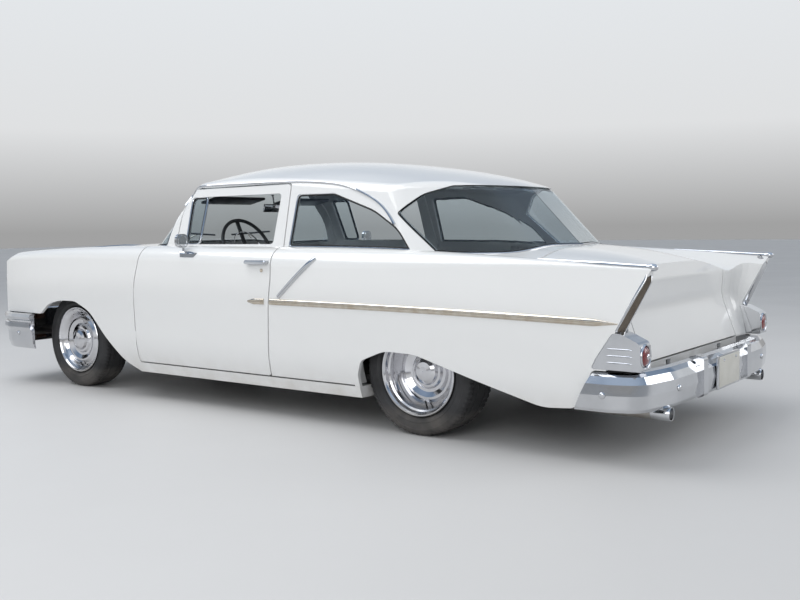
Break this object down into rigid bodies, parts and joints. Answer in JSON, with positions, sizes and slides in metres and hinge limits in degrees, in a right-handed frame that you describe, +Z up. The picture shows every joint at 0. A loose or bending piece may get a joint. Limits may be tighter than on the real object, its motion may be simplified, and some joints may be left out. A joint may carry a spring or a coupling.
{
  "type": "1950s two-door sedan with tail fins",
  "caption": "Lowered two-door sedan body on a frame, with tail fins, chrome bumpers, opening doors, hood and deck lid, steered front wheels and free-turning road wheels.",
  "frame": {"origin": "on the ground under the middle of the car's length and width", "axes": "+X to the car's left, +Y to the rear, +Z up"},
  "size_m": [1.96, 5.0798, 1.49],
  "materials": {
    "body_paint": "glossy white enamel",
    "chrome": "polished",
    "glass": "clear, slightly tinted",
    "tyre": "black rubber",
    "vinyl": "dark pleated vinyl",
    "trim_plastic": "black",
    "chassis": "satin black",
    "cast": "painted casting",
    "exhaust": "aluminised steel",
    "lens": "dark red lens"
  },
  "bodies": {
    "car_body": {"chassis_frame": "chassis", "floor_pan": "chassis", "engine_block": "cast", "driveshaft": "chassis", "rear_axle": "cast", "leaf_springs": "chassis", "fuel_tank": "exhaust", "exhaust": "exhaust", "front_suspension": "chassis", "front_fender_left": "body_paint", "front_fender_right": "body_paint", "cowl": "body_paint", "roof_panel": "body_paint", "quarter_panel_left": "body_paint", "quarter_panel_right": "body_paint", "rocker_sills": "body_paint", "rear_deck": "body_paint", "tail_panel": "body_paint", "windshield": "glass", "rear_window": "glass", "quarter_windows": "glass", "front_seat": "vinyl", "rear_seat": "vinyl", "dashboard": "body_paint", "steering_wheel": "trim_plastic", "steering_column": "trim_plastic", "front_bumper": "chrome", "rear_bumper": "chrome", "grille": "chrome", "headlamps": "chrome", "tail_lamps": "chrome", "tail_lenses": "lens"},
    "hood_body": {"hood": "body_paint"},
    "deck_lid_body": {"deck_lid": "body_paint"},
    "left_door": {"door_left": "body_paint", "vent_windows_left": "glass", "door_fittings_left": "chrome"},
    "right_door": {"door_right": "body_paint", "vent_windows_right": "glass", "door_fittings_right": "chrome"},
    "left_knuckle": {"knuckle_left": "cast"},
    "right_knuckle": {"knuckle_right": "cast"},
    "front_left_wheel": {"tyre_front_left": "tyre", "wheel_front_left": "chrome"},
    "front_right_wheel": {"tyre_front_right": "tyre", "wheel_front_right": "chrome"},
    "rear_left_wheel": {"tyre_rear_left": "tyre", "wheel_rear_left": "chrome"},
    "rear_right_wheel": {"tyre_rear_right": "tyre", "wheel_rear_right": "chrome"}
  },
  "joints": [
    {"name": "hood_hinge", "type": "hinge", "parent": "car_body", "child": "hood_body", "pos_m": [0, -1.176, 0.985], "axis": [-1, 0, 0], "range_deg": [0, 48]},
    {"name": "deck_lid_hinge", "type": "hinge", "parent": "car_body", "child": "deck_lid_body", "pos_m": [0, 1.788, 0.972], "axis": [1, 0, 0], "range_deg": [0, 60]},
    {"name": "left_door_hinge", "type": "hinge", "parent": "car_body", "child": "left_door", "pos_m": [0.93, -0.903, 0.55], "axis": [0, 0, -1], "range_deg": [0, 62]},
    {"name": "right_door_hinge", "type": "hinge", "parent": "car_body", "child": "right_door", "pos_m": [-0.93, -0.903, 0.55], "axis": [0, 0, 1], "range_deg": [0, 62]},
    {"name": "left_steer", "type": "hinge", "parent": "car_body", "child": "left_knuckle", "pos_m": [0.6367, -1.702, 0.327], "axis": [0, 0, 1], "range_deg": [-30, 30]},
    {"name": "right_steer", "type": "hinge", "parent": "car_body", "child": "right_knuckle", "pos_m": [-0.6367, -1.702, 0.327], "axis": [0, 0, 1], "range_deg": [-30, 30]},
    {"name": "front_left_spin", "type": "hinge", "parent": "left_knuckle", "child": "front_left_wheel", "pos_m": [0.706, -1.702, 0.327], "axis": [1, 0, 0], "continuous": true},
    {"name": "front_right_spin", "type": "hinge", "parent": "right_knuckle", "child": "front_right_wheel", "pos_m": [-0.706, -1.702, 0.327], "axis": [1, 0, 0], "continuous": true},
    {"name": "rear_left_spin", "type": "hinge", "parent": "car_body", "child": "rear_left_wheel", "pos_m": [0.716, 1.219, 0.327], "axis": [1, 0, 0], "continuous": true},
    {"name": "rear_right_spin", "type": "hinge", "parent": "car_body", "child": "rear_right_wheel", "pos_m": [-0.716, 1.219, 0.327], "axis": [1, 0, 0], "continuous": true}
  ],
  "couplings": [
    {"joint": "right_steer", "follows": "left_steer", "ratio": 1}
  ]
}
